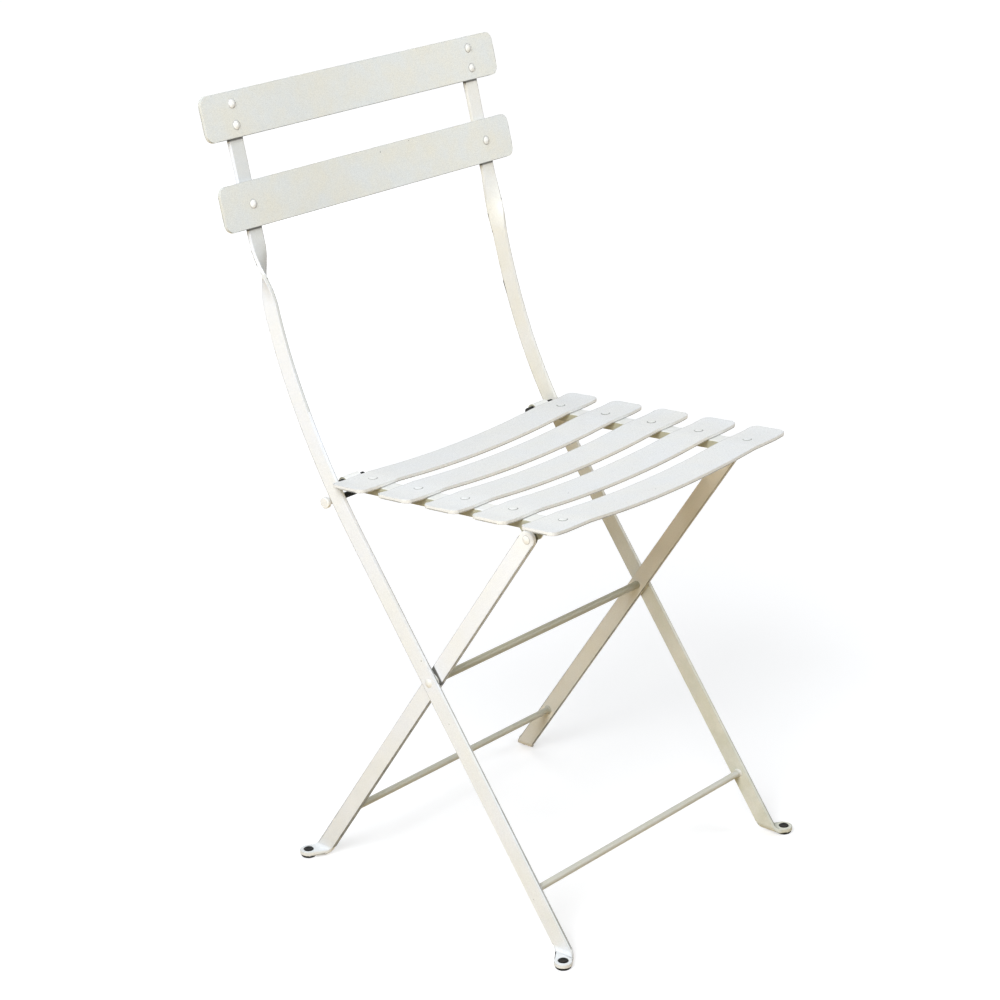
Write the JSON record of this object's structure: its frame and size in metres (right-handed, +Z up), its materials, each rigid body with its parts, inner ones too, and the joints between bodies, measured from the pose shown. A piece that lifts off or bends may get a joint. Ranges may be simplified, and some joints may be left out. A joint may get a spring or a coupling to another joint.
{
  "type": "folding chair",
  "caption": "Folding bistro chair of painted flat steel bar: crossed legs with round cross rods, a dished slatted seat on folded rails, and a slatted back.",
  "frame": {"origin": "centre of the open chair's outer box on the floor", "axes": "+Z up, -Y to the front of the chair, +X to the sitter's left"},
  "size_m": [0.424, 0.4416, 0.8008],
  "materials": {
    "painted_steel": "satin",
    "black_plastic": "matte"
  },
  "bodies": {
    "back_frame": {"left_long_leg": "painted_steel", "right_long_leg": "painted_steel", "top_back_slat": "painted_steel", "lower_back_slat": "painted_steel", "top_slat_rivets": "painted_steel", "lower_slat_rivets": "painted_steel", "front_cross_rod": "painted_steel", "pivot_rod": "painted_steel", "pivot_washers": "painted_steel", "rest_pegs": "painted_steel", "rest_peg_sleeves": "black_plastic", "front_glides": "black_plastic"},
    "short_leg_frame": {"left_short_leg": "painted_steel", "right_short_leg": "painted_steel", "rear_cross_rod": "painted_steel", "seat_hinge_rivets": "painted_steel", "seat_hinge_washers": "painted_steel", "rear_glides": "black_plastic"},
    "seat": {"left_seat_rail": "painted_steel", "right_seat_rail": "painted_steel", "seat_slat_rivets": "painted_steel", "guide_pins": "painted_steel", "guide_pin_sleeves": "black_plastic", "seat_slat_1": "painted_steel", "seat_slat_2": "painted_steel", "seat_slat_3": "painted_steel", "seat_slat_4": "painted_steel", "seat_slat_5": "painted_steel"}
  },
  "joints": [
    {"name": "fold", "type": "hinge", "parent": "back_frame", "child": "short_leg_frame", "pos_m": [0, -0.03036, 0.2446], "axis": [-1, 0, 0], "range_deg": [0, 62]},
    {"name": "seat_hinge", "type": "hinge", "parent": "short_leg_frame", "child": "seat", "pos_m": [0, -0.15174, 0.42388], "axis": [1, 0, 0], "range_deg": [0, 127.72]}
  ],
  "couplings": [
    {"joint": "seat_hinge", "follows": "fold", "ratio": 2.06}
  ]
}
